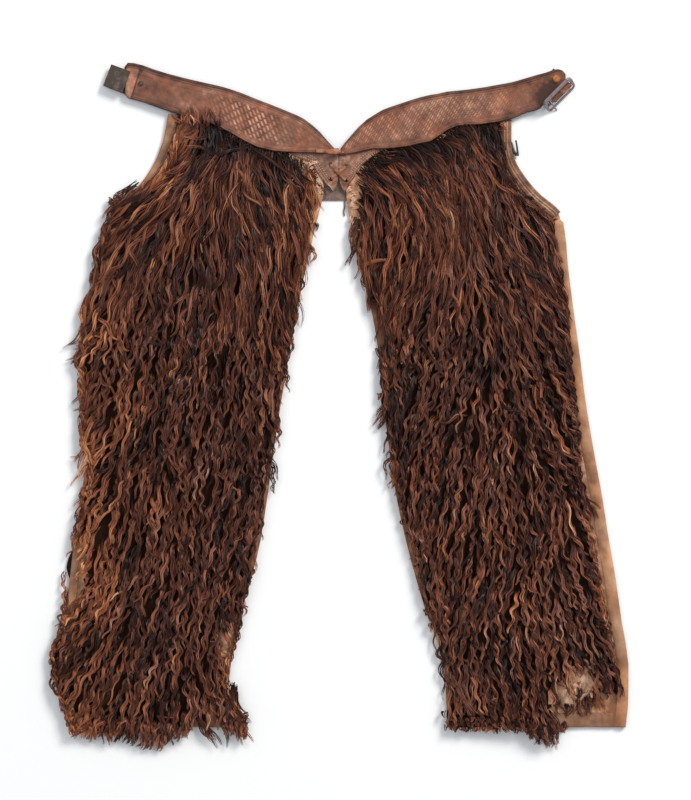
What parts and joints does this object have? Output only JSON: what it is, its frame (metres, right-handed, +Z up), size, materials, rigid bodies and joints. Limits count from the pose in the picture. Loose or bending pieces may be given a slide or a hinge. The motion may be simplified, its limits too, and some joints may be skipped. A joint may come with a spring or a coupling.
{
  "type": "leather chaps",
  "caption": "Woolly leather chaps laid flat: two long-haired hide legs on a tooled two-part belt laced at the front, with a strap loop, buckle and hip hook.",
  "frame": {"origin": "bottom centre of the whole garment's box, on the surface the chaps lie on", "axes": "+Z up from the surface, +Y from the hems towards the belt, +X towards the leg at the right of the picture"},
  "size_m": [0.8404, 0.996, 0.0388],
  "materials": {
    "back leather": "worn smooth tan leather",
    "hide": "bare tan hide under the hair",
    "binding": "folded tan leather strip, stitched",
    "hem leather": "plain tan leather band, stitched",
    "hair": "long curly dark brown goat hair",
    "belt leather": "red-brown stamped leather, worn satin",
    "lace": "flat leather thong",
    "lace end": "thin grey thong",
    "gusset leather": "thin greyed leather",
    "loop leather": "dark stiff strap leather",
    "rust": "rusty iron rivet head",
    "nickel": "dull plated metal with rust",
    "iron": "dark iron wire"
  },
  "bodies": {
    "garment": {"back_left": "back leather", "back_right": "back leather", "front_left": "hide", "front_right": "hide", "hair_left": "hair", "hair_right": "hair", "hip_binding_left": "binding", "hip_binding_right": "binding", "hem_band_left": "hem leather", "hem_band_right": "hem leather", "belt_left": "belt leather", "belt_right": "belt leather", "tab_left": "belt leather", "tab_right": "belt leather", "lace_under": "lace", "lace_over": "lace", "lace_top": "lace", "lace_knot": "lace", "gusset": "gusset leather", "lace_end": "lace end", "strap_loop": "loop leather", "loop_rivet": "rust", "chape": "loop leather", "chape_rivet": "rust", "hip_hook": "iron"},
    "buckle": {"buckle_frame": "nickel"},
    "tongue": {"buckle_tongue": "nickel"}
  },
  "joints": [
    {"name": "buckle_swing", "type": "hinge", "parent": "garment", "child": "buckle", "pos_m": [0.3187, 0.4515, 0.0135], "axis": [-0.7071, -0.7071, 0], "range_deg": [0, 30]},
    {"name": "tongue_lift", "type": "hinge", "parent": "buckle", "child": "tongue", "pos_m": [0.3187, 0.4515, 0.0135], "axis": [-0.7071, -0.7071, 0], "range_deg": [0, 60]}
  ]
}
